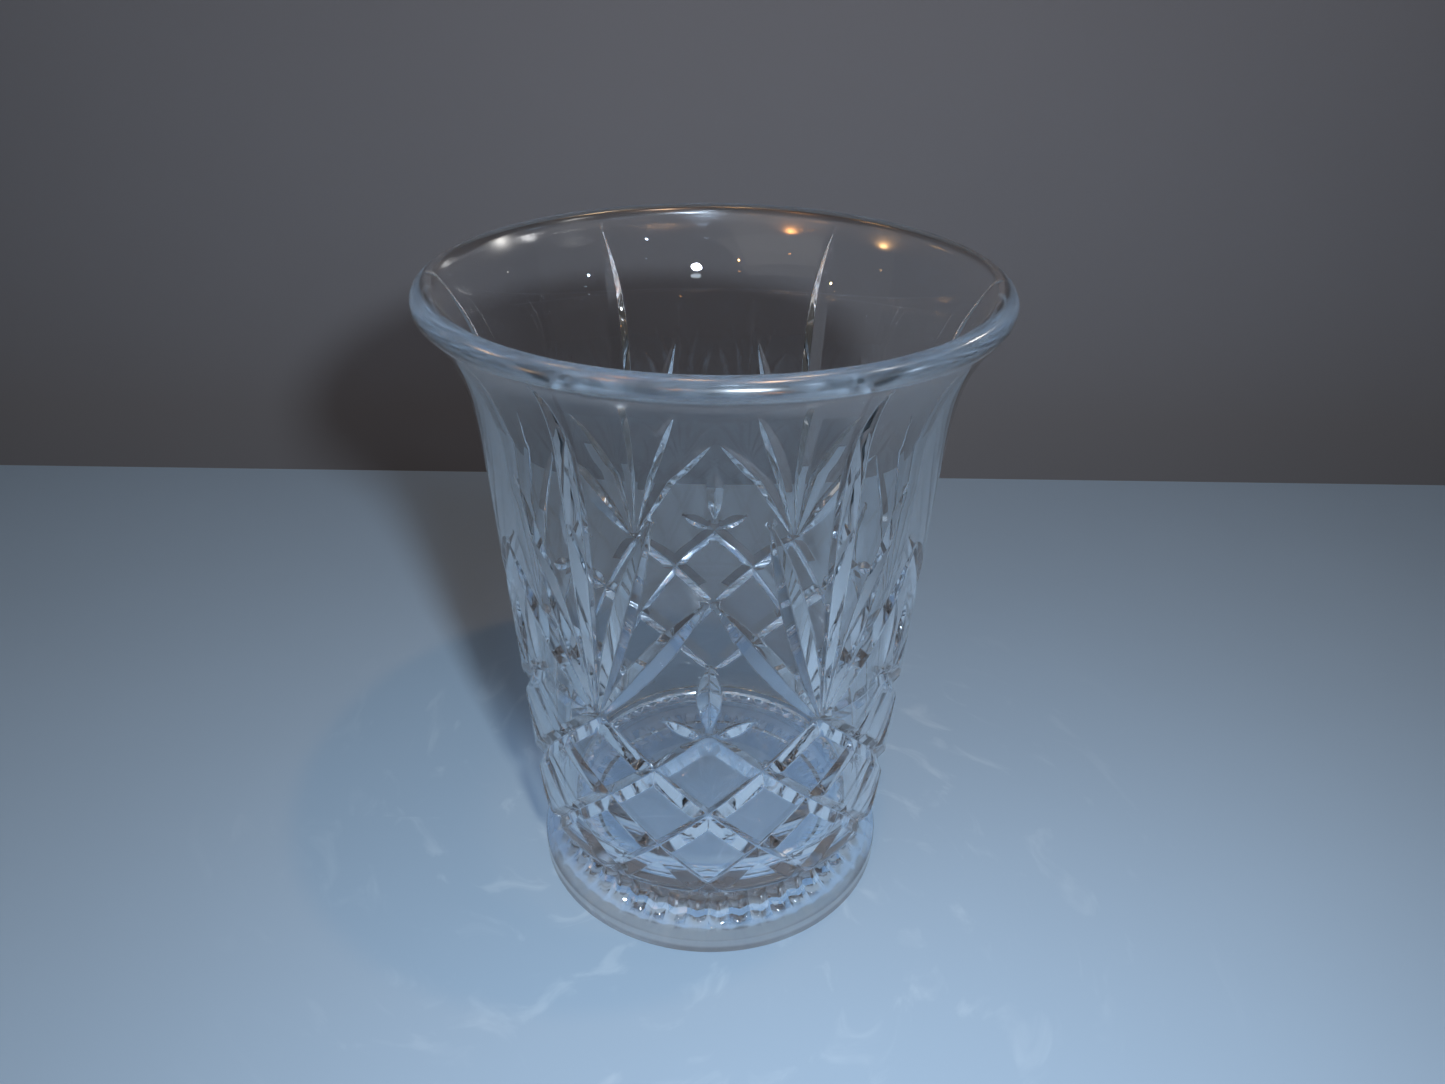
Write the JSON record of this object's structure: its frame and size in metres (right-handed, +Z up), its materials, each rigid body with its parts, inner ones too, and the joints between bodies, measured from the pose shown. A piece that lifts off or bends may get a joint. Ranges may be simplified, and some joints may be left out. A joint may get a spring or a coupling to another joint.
{
  "type": "cut crystal vase",
  "caption": "Footed clear cut-glass vase with a flared rounded rim, mitre-cut fans, small leaves and a diamond lattice, holding flowers or cut stems in water.",
  "frame": {"origin": "on the vase's axis at the plane it stands on, the underside of the foot", "axes": "+Z up along the axis of the vase, -Y to the front, where a small leaf trio stands between two fans, +X to the right"},
  "size_m": [0.2036, 0.2036, 0.254],
  "materials": {
    "crystal_bowl": "clear polished lead crystal with mitre cuts",
    "crystal_foot": "clear polished lead crystal with radial flutes"
  },
  "bodies": {
    "root": {"bowl": "crystal_bowl", "foot": "crystal_foot"}
  },
  "joints": []
}
